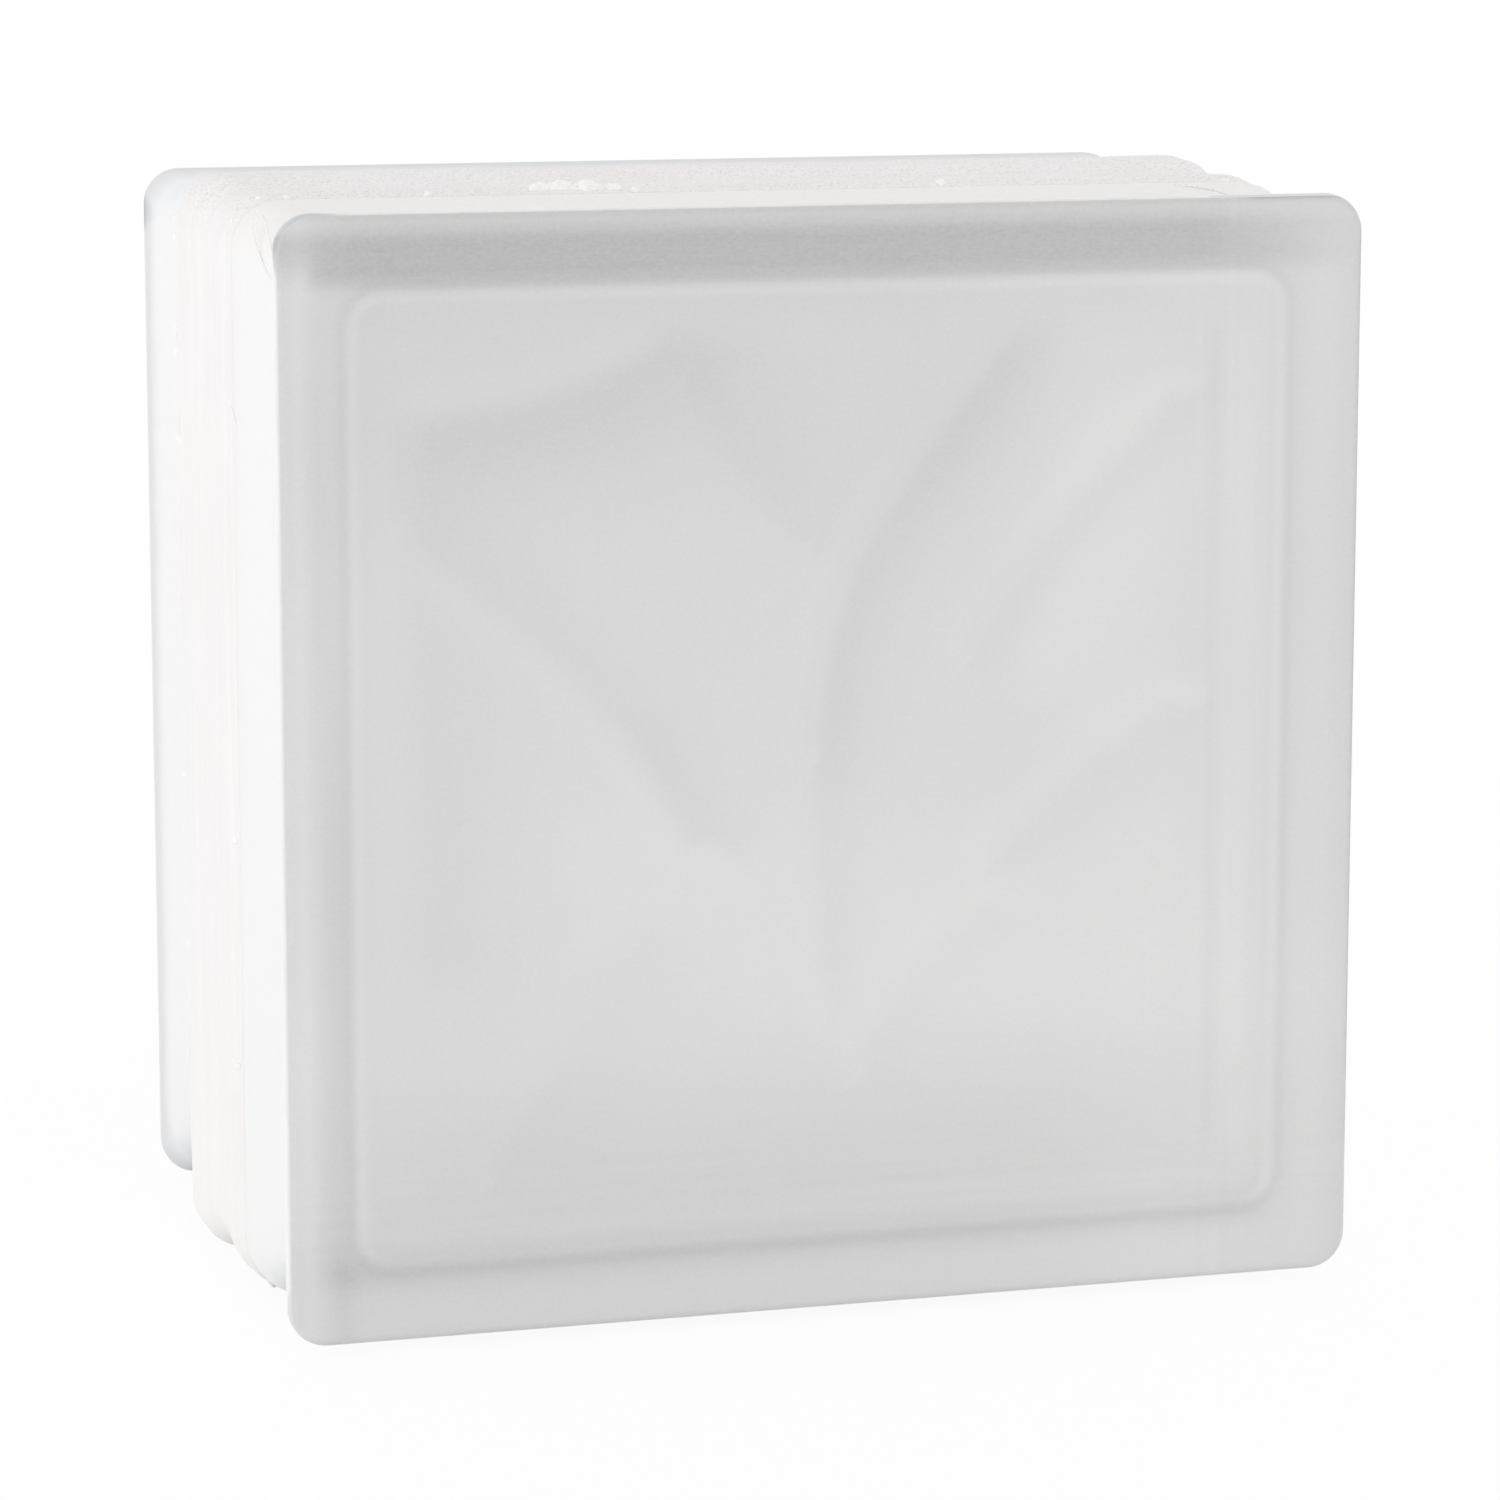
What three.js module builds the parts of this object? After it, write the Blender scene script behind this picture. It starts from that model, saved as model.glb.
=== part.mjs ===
// A hollow pressed-glass block for masonry: two deep glass trays fused mouth to mouth, with a thick
// coat of sealer round the fused band. Millimetres, +Z up, the patterned front face towards -Y.
// The origin is on the floor, under the middle of the block.
import * as THREE from "three";

// ---- Driving dimensions -------------------------------------------------------------------------
const faceSize = 146; // width and height of each glass face, over its lips
const blockDepth = 98; // outside of the front face to outside of the rear face
const seamGap = 0.1; // joint line between the two fused rims

const faceCornerRadius = 5; // corners of the face, seen from the front
const faceEdgeRound = 1.2; // rounding between the face and the side of its lip
const lipThickness = 3; // the lip's straight side, measured from the outside of the face
const lipSlopeRun = 5; // depth over which the back of the lip slopes in to the mortar groove
const grooveDepth = 4.8; // how far the mortar groove lies below the lip
const grooveFloor = 5; // flat bottom of the groove, along the depth
const shoulderRun = 14; // depth over which the side flares out from the groove to the shoulder
const shoulderLand = 4; // width of the shoulder's crest
const shoulderInset = 0.2; // crest of the shoulder below the lip
const bandDrop = 0.8; // step from the shoulder's crest down to the fused band
const bandStepRun = 3; // depth over which that step falls
const sideCornerRadius = 6.5; // corners of the shoulder and the fused band

const plateThickness = 8; // the face plate, where the wave relief is level
const panelMargin = 10; // side of the block to the foot of the cavity wall
const cavityCornerRadius = 6; // corners of the cavity
const cavityFillet = 3.5; // fillet between the cavity wall and the face plate
const rimThickness = 6; // wall at the fused rim

const waveHeight = 2.2; // a full fold of the relief above the level plate
const waveFade = 6; // width of the margin over which the relief dies out
const waveCells = 50; // facets of the relief along each side

const coatBorderGap = 0.5; // between the coat's borders and the shoulders' steps, along the depth
const coatStandProud = 1.5; // the coat's two crests beyond the lips
const coatCrestWidth = 4; // flat top of each crest, which the block rests on
const coatWaistDepth = 1.2; // how far the middle of the coat lies below its crests
const coatEdgeSlope = 2.5; // run-out of the coat at its two borders
const coatEdgeThickness = 0.6; // what is left of the coat at its borders
const coatClearance = 0.1; // between the coat and the glass that it lies on

const arcSteps = 6; // facets round each corner
const curveSteps = 5; // facets along each curved stretch of a side profile

const glassMaterial = new THREE.MeshStandardMaterial({ color: 0xd3d5d4, roughness: 0.55, metalness: 0 });
const coatMaterial = new THREE.MeshStandardMaterial({ color: 0xf5f1ee, roughness: 0.8, metalness: 0 });

const halfFace = faceSize / 2;
const centreHeight = halfFace + coatStandProud;
const seamDepth = blockDepth / 2 - seamGap / 2;

// ---- Closed meshes from rings -------------------------------------------------------------------

/** Points of a rounded square, anticlockwise from its right side, as [x, z] pairs. */
function roundedSquare(halfSize, radius) {
  const middle = halfSize - radius;
  const centres = [[middle, middle], [-middle, middle], [-middle, -middle], [middle, -middle]];
  return centres.flatMap(([x, z], quarter) => {
    const start = (quarter * Math.PI) / 2;
    const corner = new THREE.EllipseCurve(x, z, radius, radius, start, start + Math.PI / 2);
    return corner.getPoints(arcSteps).map((point) => [point.x, point.y]);
  });
}

/** Vertices and triangles of one closed surface, gathered ring by ring. */
class Surface {
  constructor() {
    this.vertices = [];
    this.triangles = [];
  }

  /** Adds points [x, z] at one depth y and returns their indices. */
  ring(points, y) {
    return points.map(([x, z]) => this.vertices.push([x, y, z]) - 1);
  }

  /** Skins two rings of equal count; where b lies further back, the faces point away from the axis. */
  skin(a, b) {
    a.forEach((start, i) => {
      const next = (i + 1) % a.length;
      this.triangles.push([start, b[next], a[next]], [start, b[i], b[next]]);
    });
  }

  /** Fills a flat ring as a fan round its middle, facing -Y. */
  cap(ring) {
    const centre = this.vertices.push([0, this.vertices[ring[0]][1], 0]) - 1;
    ring.forEach((start, i) => this.triangles.push([centre, start, ring[(i + 1) % ring.length]]));
  }

  /** Fills the flat space between two rings of any counts, one inside the other, facing +Y. */
  bridge(outer, inner) {
    const around = (ring) => {
      const turn = (index) => Math.atan2(this.vertices[index][2], this.vertices[index][0]);
      const first = ring.reduce((best, index, i) => (turn(index) < turn(ring[best]) ? i : best), 0);
      const walk = ring.map((_, i) => ring[(first + i) % ring.length]);
      return { walk: [...walk, walk[0]], turns: [...walk.map(turn), turn(walk[0]) + 2 * Math.PI] };
    };
    const [far, near] = [around(outer), around(inner)];
    let [i, j] = [0, 0];
    while (i < outer.length || j < inner.length) {
      const outerIsNext = j === inner.length || (i < outer.length && far.turns[i + 1] < near.turns[j + 1]);
      const third = outerIsNext ? far.walk[i + 1] : near.walk[j + 1];
      this.triangles.push([far.walk[i], near.walk[j], third]);
      if (outerIsNext) i += 1;
      else j += 1;
    }
  }

  geometry() {
    const geometry = new THREE.BufferGeometry();
    geometry.setAttribute("position", new THREE.Float32BufferAttribute(this.vertices.flat(), 3));
    geometry.setIndex(this.triangles.flat());
    geometry.computeVertexNormals();
    return geometry;
  }
}

// ---- Side of the block --------------------------------------------------------------------------

const grooveStart = lipThickness + lipSlopeRun;
const grooveEnd = grooveStart + grooveFloor;
const shoulderStart = grooveEnd + shoulderRun;
const shoulderEnd = shoulderStart + shoulderLand;
const bandStart = shoulderEnd + bandStepRun;
const bandInset = shoulderInset + bandDrop;

/** Even shares from 0 to 1, without the first. */
const shares = (count) => Array.from({ length: count }, (_, i) => (i + 1) / count);

/** Smooth change from one value to another, level at both ends. */
const ease = (from, to, share) => from + ((to - from) * (1 - Math.cos(Math.PI * share))) / 2;

/** Half-section of a tray's outside: depth from the face, inset below the lip and corner radius. */
function outsideStations() {
  const stations = [];
  const add = (depth, inset, radius) => stations.push({ depth, inset, radius });
  for (const share of [0, ...shares(curveSteps)]) {
    const turn = (share * Math.PI) / 2;
    const inset = faceEdgeRound * (1 - Math.sin(turn));
    add(faceEdgeRound * (1 - Math.cos(turn)), inset, faceCornerRadius - inset);
  }
  add(lipThickness, 0, faceCornerRadius);
  add(grooveStart, grooveDepth, faceCornerRadius);
  add(grooveEnd, grooveDepth, faceCornerRadius);
  for (const share of shares(curveSteps)) {
    const radius = ease(faceCornerRadius, sideCornerRadius, share);
    add(grooveEnd + shoulderRun * share, ease(grooveDepth, shoulderInset, share), radius);
  }
  add(shoulderEnd, shoulderInset, sideCornerRadius);
  add(bandStart, bandInset, sideCornerRadius);
  add(seamDepth, bandInset, sideCornerRadius);
  return stations;
}

/** Half-section of a tray's cavity, from the fused rim to the face plate. */
function insideStations() {
  const foot = halfFace - panelMargin;
  const stations = [{ depth: seamDepth, halfSize: halfFace - bandInset - rimThickness }];
  for (const share of [0, ...shares(curveSteps)]) {
    const turn = (share * Math.PI) / 2;
    stations.push({
      depth: plateThickness + cavityFillet * (1 - Math.sin(turn)),
      halfSize: foot - cavityFillet * (1 - Math.cos(turn)),
    });
  }
  return stations;
}

// ---- Wave relief --------------------------------------------------------------------------------

// Folds of the relief, seen from the front. Each follows a Bezier curve through four points [x, z], from
// the middle of a face 146 across, and falls steeply on the side that it leans to, where a furrow runs
// along its foot, and slowly on the other. Its rise and furrow are shares of waveHeight; where the rise
// is negative, the plate is thinner.
const foldFace = 146;
const folds = [
  { path: [[29, 62], [16, 38], [1, 31], [-1, 4]], rise: 0.4, lean: [-1, 0.5], steep: 2, slow: 8, furrow: 0.15 },
  { path: [[29, 62], [12, 31], [-6, 36], [0, -30]], rise: 0.3, lean: [-1, 0.3], steep: 1.8, slow: 4, furrow: 0.1 },
  { path: [[-20, 62], [-21, 50], [-36, 46], [-58, 44]], rise: 0.6, lean: [-0.3, 1], steep: 2.5, slow: 8, furrow: 0.25 },
  { path: [[-18, 48], [-14, 42], [-10, 38], [-5, 31]], rise: 0.3, lean: [-1, -0.8], steep: 2, slow: 8, furrow: 0 },
  { path: [[-54, 32], [-40, 20], [-28, 10], [-19, -8]], rise: 0.3, lean: [-0.7, -1], steep: 2, slow: 7, furrow: 0.15 },
  { path: [[-25, 4], [-23, 0], [-21, -3], [-18, -8]], rise: 0.25, lean: [-0.7, -1], steep: 2, slow: 5, furrow: 0 },
  { path: [[47, 45], [39, 37], [29, 28], [21, 15]], rise: 0.4, lean: [-0.7, 0.7], steep: 2, slow: 4, furrow: 0.35 },
  { path: [[47, 4], [41, 0], [34, -6], [24, -13]], rise: 0.2, lean: [-0.5, 1], steep: 2, slow: 4, furrow: 0.4 },
  { path: [[22, -22], [14, -28], [8, -33], [6, -39]], rise: 0.2, lean: [-0.7, 0.7], steep: 2, slow: 4, furrow: 0.35 },
  { path: [[-30, -27], [-33, -35], [-38, -42], [-44, -50]], rise: 0.2, lean: [-1, 0.7], steep: 2, slow: 9, furrow: 0.1 },
  { path: [[-62, 26], [-54, 10], [-50, -4], [-52, -20]], rise: 0.3, lean: [-1, 0], steep: 10, slow: 12, furrow: 0 },
  { path: [[40, 60], [38, 48], [36, 30], [32, 14]], rise: -0.4, lean: [1, 0], steep: 10, slow: 10, furrow: 0 },
  { path: [[-30, -14], [0, -22], [24, -26], [44, -24]], rise: -0.5, lean: [0, 1], steep: 18, slow: 18, furrow: 0 },
  { path: [[-50, -55], [-20, -56], [10, -56], [40, -57]], rise: 0.2, lean: [0, 1], steep: 8, slow: 6, furrow: 0 },
];
const foldSamples = 20;

/** Way from the nearest point of a line of points to a point, as [x, z]. */
function wayFromLine(x, z, line) {
  let nearest = [Infinity, Infinity];
  for (let i = 1; i < line.length; i += 1) {
    const [from, to] = [line[i - 1], line[i]];
    const run = [to.x - from.x, to.y - from.y];
    const along = ((x - from.x) * run[0] + (z - from.y) * run[1]) / (run[0] ** 2 + run[1] ** 2);
    const share = Math.min(1, Math.max(0, along));
    const way = [x - from.x - share * run[0], z - from.y - share * run[1]];
    if (Math.hypot(...way) < Math.hypot(...nearest)) nearest = way;
  }
  return nearest;
}

/** Height of the relief above the level plate, inside a square panel of the given half-size. */
function reliefHeight(panelHalf) {
  const scale = faceSize / foldFace;
  const lines = folds.map((fold) => {
    const corners = fold.path.map(([x, z]) => new THREE.Vector2(x * scale, z * scale));
    return { ...fold, points: new THREE.CubicBezierCurve(...corners).getPoints(foldSamples) };
  });
  const fade = (distance) => Math.min(1, Math.max(0, distance / waveFade));
  const bell = (share) => Math.exp(-(share ** 2));
  return (x, z) => {
    const swell = lines.reduce((sum, { points, rise, lean, steep, slow, furrow }) => {
      const way = wayFromLine(x, z, points);
      const distance = Math.hypot(...way) / scale;
      if (way[0] * lean[0] + way[1] * lean[1] <= 0) return sum + rise * bell(distance / slow);
      return sum + rise * bell(distance / steep) - furrow * bell(distance / steep - 2);
    }, 0);
    return waveHeight * swell * fade(panelHalf - Math.abs(x)) * fade(panelHalf - Math.abs(z));
  };
}

// ---- Pieces -------------------------------------------------------------------------------------

/** One pressed tray: face plate outside at y = -blockDepth / 2, open mouth at the joint line. */
function glassTray() {
  const surface = new Surface();
  const atDepth = (depth) => depth - blockDepth / 2;
  const outside = outsideStations().map(({ depth, inset, radius }) =>
    surface.ring(roundedSquare(halfFace - inset, radius), atDepth(depth)));
  const inside = insideStations().map(({ depth, halfSize }) =>
    surface.ring(roundedSquare(halfSize, cavityCornerRadius), atDepth(depth)));
  surface.cap(outside[0]);
  for (let i = 1; i < outside.length; i += 1) surface.skin(outside[i - 1], outside[i]);
  surface.bridge(outside.at(-1), inside[0]);
  for (let i = 1; i < inside.length; i += 1) surface.skin(inside[i - 1], inside[i]);

  const plateHalf = insideStations().at(-1).halfSize;
  const panelHalf = plateHalf - cavityCornerRadius / 2;
  const relief = reliefHeight(panelHalf);
  const cell = (2 * panelHalf) / waveCells;
  const rows = Array.from({ length: waveCells + 1 }, (_, row) =>
    Array.from({ length: waveCells + 1 }, (_, column) => {
      const [x, z] = [column * cell - panelHalf, row * cell - panelHalf];
      return surface.vertices.push([x, atDepth(plateThickness + relief(x, z)), z]) - 1;
    }));
  for (let row = 0; row < waveCells; row += 1) {
    for (let column = 0; column < waveCells; column += 1) {
      const [a, b] = [rows[row][column], rows[row][column + 1]];
      const [d, c] = [rows[row + 1][column], rows[row + 1][column + 1]];
      surface.triangles.push([a, c, b], [a, d, c]);
    }
  }
  const last = waveCells;
  const border = [
    ...rows[0].slice(0, last),
    ...rows.slice(0, last).map((row) => row[last]),
    ...rows[last].slice(1).reverse(),
    ...rows.slice(1).map((row) => row[0]).reverse(),
  ];
  surface.bridge(inside.at(-1), border);
  return surface.geometry();
}

/** The sealer: a closed band round the fused rims, with two crests, a waist and thin borders. */
function coatBand() {
  const surface = new Surface();
  const lying = bandInset - coatClearance;
  const coatReach = blockDepth / 2 - bandStart - coatBorderGap;
  const crestStart = coatReach - coatEdgeSlope;
  const crestEnd = crestStart - coatCrestWidth;
  const front = [
    [-coatReach, lying],
    [-coatReach, lying - coatEdgeThickness],
    [-crestStart, -coatStandProud],
    [-crestEnd, -coatStandProud],
  ];
  for (const share of shares(curveSteps)) {
    front.push([(share - 1) * crestEnd, ease(-coatStandProud, coatWaistDepth - coatStandProud, share)]);
  }
  const rear = front.slice(0, -1).reverse().map(([y, inset]) => [-y, inset]);
  const rings = [...front, ...rear].map(([y, inset]) =>
    surface.ring(roundedSquare(halfFace - inset, sideCornerRadius), y));
  rings.forEach((ring, i) => surface.skin(ring, rings[(i + 1) % rings.length]));
  return surface.geometry();
}

function namedMesh(name, geometry, material) {
  const mesh = new THREE.Mesh(geometry, material);
  mesh.name = name;
  return mesh;
}

const block = new THREE.Group();
block.position.z = centreHeight;
block.add(namedMesh("front_half_shell", glassTray(), glassMaterial));
const rearHalf = namedMesh("rear_half_shell", glassTray(), glassMaterial);
rearHalf.rotation.z = Math.PI;
block.add(rearHalf);
block.add(namedMesh("edge_coating", coatBand(), coatMaterial));

export default block;
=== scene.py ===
"""A satin glass block: two pressed trays fused mouth to mouth, with a coat of sealer round the joint.

Everything is in metres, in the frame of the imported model: the front face looks along -Y, +Z is up and
the origin is on the floor, under the middle of the block. Sizes that the frame holds are read from it.
"""

import logging
import math
from dataclasses import dataclass
from enum import IntEnum
from typing import Any, Sequence

import bpy
import numpy as np
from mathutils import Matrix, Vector


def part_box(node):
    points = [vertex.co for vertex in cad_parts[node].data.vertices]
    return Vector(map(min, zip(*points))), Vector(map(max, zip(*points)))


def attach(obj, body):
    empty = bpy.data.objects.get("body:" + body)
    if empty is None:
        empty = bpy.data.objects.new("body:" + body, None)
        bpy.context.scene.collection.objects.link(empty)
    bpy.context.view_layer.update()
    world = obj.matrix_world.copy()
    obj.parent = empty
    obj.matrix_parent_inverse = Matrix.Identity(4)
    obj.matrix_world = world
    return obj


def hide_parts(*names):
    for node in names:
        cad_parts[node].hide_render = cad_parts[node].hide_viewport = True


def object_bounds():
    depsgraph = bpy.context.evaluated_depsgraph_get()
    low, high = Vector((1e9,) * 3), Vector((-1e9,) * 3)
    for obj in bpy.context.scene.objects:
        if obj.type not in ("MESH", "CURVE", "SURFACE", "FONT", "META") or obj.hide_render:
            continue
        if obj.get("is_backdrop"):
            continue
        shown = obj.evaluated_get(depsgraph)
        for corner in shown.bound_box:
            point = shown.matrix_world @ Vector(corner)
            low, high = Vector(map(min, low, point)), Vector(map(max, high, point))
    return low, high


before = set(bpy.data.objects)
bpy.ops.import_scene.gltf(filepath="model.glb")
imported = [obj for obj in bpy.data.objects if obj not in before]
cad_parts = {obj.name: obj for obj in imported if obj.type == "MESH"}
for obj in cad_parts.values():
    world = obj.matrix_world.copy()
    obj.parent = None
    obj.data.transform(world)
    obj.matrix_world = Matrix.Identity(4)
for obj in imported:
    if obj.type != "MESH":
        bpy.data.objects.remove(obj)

log = logging.getLogger("glass_block")

MM = 0.001
GLASS_IOR = 1.5
Colour = tuple[float, float, float]
Point = tuple[float, float, float]


# ---- Node helpers --------------------------------------------------------------------------------


class Socket:
    """A number from a node, which sums and products turn into Math nodes."""

    def __init__(self, book: "NodeBook", output: bpy.types.NodeSocket) -> None:
        """Wraps an output of a node that the book has made."""
        self.book = book
        self.output = output

    def math(self, operation: str, *values: "Socket | float") -> "Socket":
        """Adds one Math node that works on this value, and on others if it takes them."""
        return self.book.math(operation, self, *values)

    def __add__(self, other: "Socket | float") -> "Socket":
        """Sum."""
        return self.math("ADD", other)

    def __sub__(self, other: "Socket | float") -> "Socket":
        """Difference."""
        return self.math("SUBTRACT", other)

    def __rsub__(self, other: float) -> "Socket":
        """Difference from a number."""
        return self.book.math("SUBTRACT", other, self)

    def __mul__(self, other: "Socket | float") -> "Socket":
        """Product."""
        return self.math("MULTIPLY", other)

    def __truediv__(self, other: "Socket | float") -> "Socket":
        """Quotient."""
        return self.math("DIVIDE", other)

    def __abs__(self) -> "Socket":
        """Size without sign."""
        return self.math("ABSOLUTE")

    def larger(self, other: "Socket | float") -> "Socket":
        """The larger of two values."""
        return self.math("MAXIMUM", other)

    def smaller(self, other: "Socket | float") -> "Socket":
        """The smaller of two values."""
        return self.math("MINIMUM", other)

    def clipped(self) -> "Socket":
        """The value held between 0 and 1."""
        return self.larger(0.0).smaller(1.0)

    def bell(self, width: "Socket | float") -> "Socket":
        """A bell curve of this distance, 1 in the middle."""
        share = self / width
        return (share * share * -1.0).math("EXPONENT")


class NodeBook:
    """Makes the nodes of one tree, each through the same method."""

    def __init__(self, tree: bpy.types.NodeTree) -> None:
        """Empties a shader or geometry node tree and starts with it."""
        tree.nodes.clear()
        self.tree = tree

    def node(
        self, kind: str, settings: dict[str, Any] | None = None, inputs: dict[Any, Any] | None = None
    ) -> list[Socket]:
        """Adds a node.

        Args:
            kind: the node's type name.
            settings: attributes of the node, set before its inputs.
            inputs: values or Sockets, by the input's name or number; a list links several Sockets.

        Returns:
            The node's outputs in order.
        """
        made = self.tree.nodes.new(kind)
        for name, value in (settings or {}).items():
            setattr(made, name, value)
        for key, value in (inputs or {}).items():
            for each in value if isinstance(value, list) else [value]:
                if isinstance(each, Socket):
                    self.tree.links.new(each.output, made.inputs[key])
                else:
                    made.inputs[key].default_value = each
        return [Socket(self, output) for output in made.outputs]

    def math(self, operation: str, *values: Socket | float) -> Socket:
        """Adds a Math node and returns its result."""
        return self.node("ShaderNodeMath", {"operation": operation}, dict(enumerate(values)))[0]

    def vector(self, operation: str, *values: Any) -> Socket:
        """Adds a Vector Math node and returns its vector."""
        return self.node("ShaderNodeVectorMath", {"operation": operation}, dict(enumerate(values)))[0]

    def length(self, value: Socket) -> Socket:
        """Length of a vector."""
        return self.node("ShaderNodeVectorMath", {"operation": "LENGTH"}, {0: value})[1]

    def scaled(self, value: Socket, share: Socket) -> Socket:
        """A vector times a number."""
        return self.node("ShaderNodeVectorMath", {"operation": "SCALE"}, {0: value, "Scale": share})[0]

    def joined(self, **parts: Socket) -> Socket:
        """A vector from its parts, named x, y and z; those left out are 0."""
        named = {name.upper(): value for name, value in parts.items()}
        return self.node("ShaderNodeCombineXYZ", {}, named)[0]

    def noise(self, place: Socket, size: Sequence[float], detail: float = 2.0) -> Socket:
        """Noise round 0.5; its size is the width of a speck along X, Y and Z, and detail adds octaves."""
        spread = self.vector("DIVIDE", place, tuple(size))
        return self.node("ShaderNodeTexNoise", {}, {"Vector": spread, "Scale": 1.0, "Detail": detail})[0]

    def blend(self, share: Socket | float, low: Any, high: Any) -> Socket:
        """Mixes two colours, given as (red, green, blue) or as Sockets."""
        ends = [end if isinstance(end, Socket) else (*end, 1.0) for end in (low, high)]
        return self.node("ShaderNodeMix", {"data_type": "RGBA"}, {0: share, 6: ends[0], 7: ends[1]})[2]

    def parts(self, place: Socket) -> list[Socket]:
        """The X, Y and Z of a vector."""
        return self.node("ShaderNodeSeparateXYZ", {}, {0: place})


class Finish:
    """A surface finish: a material with its own nodes."""

    def __init__(self, name: str) -> None:
        """Starts an empty material.

        Args:
            name: the material's name.
        """
        self.result = bpy.data.materials.new(name)
        self.result.use_nodes = True
        self.book = NodeBook(self.result.node_tree)
        self.place = self.book.node("ShaderNodeTexCoord")[3]

    def attribute(self, name: str) -> Socket:
        """Reads a number that the mesh holds at each point."""
        return self.book.node("ShaderNodeAttribute", {"attribute_name": name})[2]

    def distance(self, place: Point) -> Socket:
        """Distance from a place on the piece."""
        return self.book.length(self.book.vector("SUBTRACT", self.place, place))

    def grain(self, size: float, detail: float = 2.0) -> Socket:
        """Even noise on the piece, with specks of this size."""
        return self.book.noise(self.place, (size, size, size), detail)

    def bump(self, height: Socket, rise: float) -> Socket:
        """A normal from a height; rise is the height in metres of a value of 1."""
        return self.book.node("ShaderNodeBump", {}, {"Height": height, "Distance": rise})[0]

    def principled(self, **inputs: Any) -> Socket:
        """Adds a Principled shader.

        Args:
            inputs: its inputs, named in plain words, such as base_color.

        Returns:
            The shader.
        """
        named = {name.replace("_", " ").title(): value for name, value in inputs.items()}
        if "Ior" in named:
            named["IOR"] = named.pop("Ior")
        return self.book.node("ShaderNodeBsdfPrincipled", {}, named)[0]

    def mixed(self, share: Socket | float, first: Socket, second: Socket) -> Socket:
        """Mixes two shaders."""
        return self.book.node("ShaderNodeMixShader", {}, {0: share, 1: first, 2: second})[0]

    def thinned(self, shader: Socket, colour: Any, share: float) -> Socket:
        """Lets a share of the light through a shader, spread out."""
        through = self.book.node("ShaderNodeBsdfTranslucent", {}, {"Color": colour})[0]
        return self.mixed(share, shader, through)

    def filmed(self, shader: Socket, colour: Any, share: float) -> Socket:
        """Covers a share of a shader with a dull film."""
        film = self.book.node("ShaderNodeBsdfDiffuse", {}, {"Color": colour})[0]
        return self.mixed(share, shader, film)

    def close(self, shader: Socket) -> bpy.types.Material:
        """Sends the shader to the output and returns the material."""
        self.book.node("ShaderNodeOutputMaterial", {}, {0: shader})
        return self.result


class GeometryTree:
    """A geometry node tree with named inputs, which is run once on a mesh."""

    SOCKETS = {float: "NodeSocketFloat", bpy.types.Material: "NodeSocketMaterial"}

    def __init__(self, name: str, values: dict[str, Any]) -> None:
        """Starts the tree.

        Args:
            name: the tree's name.
            values: its inputs and what the modifier sets them to.
        """
        self.tree = bpy.data.node_groups.new(name, "GeometryNodeTree")
        sides = self.tree.interface
        sides.new_socket("Geometry", in_out="OUTPUT", socket_type="NodeSocketGeometry")
        sides.new_socket("Geometry", in_out="INPUT", socket_type="NodeSocketGeometry")
        self.settings: dict[str, Any] = {}
        for label, value in values.items():
            made = sides.new_socket(label, in_out="INPUT", socket_type=self.SOCKETS[type(value)])
            self.settings[made.identifier] = value
        self.book = NodeBook(self.tree)
        self.given = dict(zip(["Geometry", *values], self.book.node("NodeGroupInput")))
        self.place = self.book.node("GeometryNodeInputPosition")[0]

    def attribute(self, name: str, kind: str = "FLOAT") -> Socket:
        """Reads a named attribute."""
        return self.book.node("GeometryNodeInputNamedAttribute", {"data_type": kind}, {"Name": name})[0]

    def keep(self, geometry: Socket, name: str, value: Socket | float) -> Socket:
        """Stores a number at each point as a named attribute."""
        inputs = {"Geometry": geometry, "Name": name, "Value": value}
        return self.book.node("GeometryNodeStoreNamedAttribute", {}, inputs)[0]

    def shifted(self, geometry: Socket, offset: Socket) -> Socket:
        """Moves each point by a vector."""
        return self.book.node("GeometryNodeSetPosition", {}, {"Geometry": geometry, "Offset": offset})[0]

    def curve(self, path: Sequence[Point], samples: int) -> Socket:
        """Makes a Bezier curve.

        Args:
            path: its start, both handles and its end, in metres.
            samples: steps along it.

        Returns:
            The curve.
        """
        names = ("Start", "Start Handle", "End Handle", "End")
        inputs = dict(zip(names, path)) | {"Resolution": samples}
        return self.book.node("GeometryNodeCurvePrimitiveBezierSegment", {}, inputs)[0]

    def close(self, geometry: Socket, finishes: dict[str, Socket | bool]) -> None:
        """Ends the tree.

        Args:
            geometry: the result.
            finishes: names of material inputs, and the faces that each covers.
        """
        geometry = self.book.node("GeometryNodeRealizeInstances", {}, {"Geometry": geometry})[0]
        for label, faces in finishes.items():
            inputs = {"Geometry": geometry, "Selection": faces, "Material": self.given[label]}
            geometry = self.book.node("GeometryNodeSetMaterial", {}, inputs)[0]
        self.book.node("NodeGroupOutput", {}, {0: geometry})

    def run(self, mesh: bpy.types.Mesh) -> bpy.types.Mesh:
        """Runs the tree on a mesh.

        Args:
            mesh: the mesh that goes in.

        Returns:
            The result as a plain mesh.
        """
        carrier = plain_object(mesh.name + "_carrier", mesh)
        modifier = carrier.modifiers.new(self.tree.name, "NODES")
        modifier.node_group = self.tree
        for identifier, value in self.settings.items():
            modifier[identifier] = value
        graph = bpy.context.evaluated_depsgraph_get()
        made = bpy.data.meshes.new_from_object(carrier.evaluated_get(graph), depsgraph=graph)
        bpy.data.objects.remove(carrier)
        return made


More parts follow.
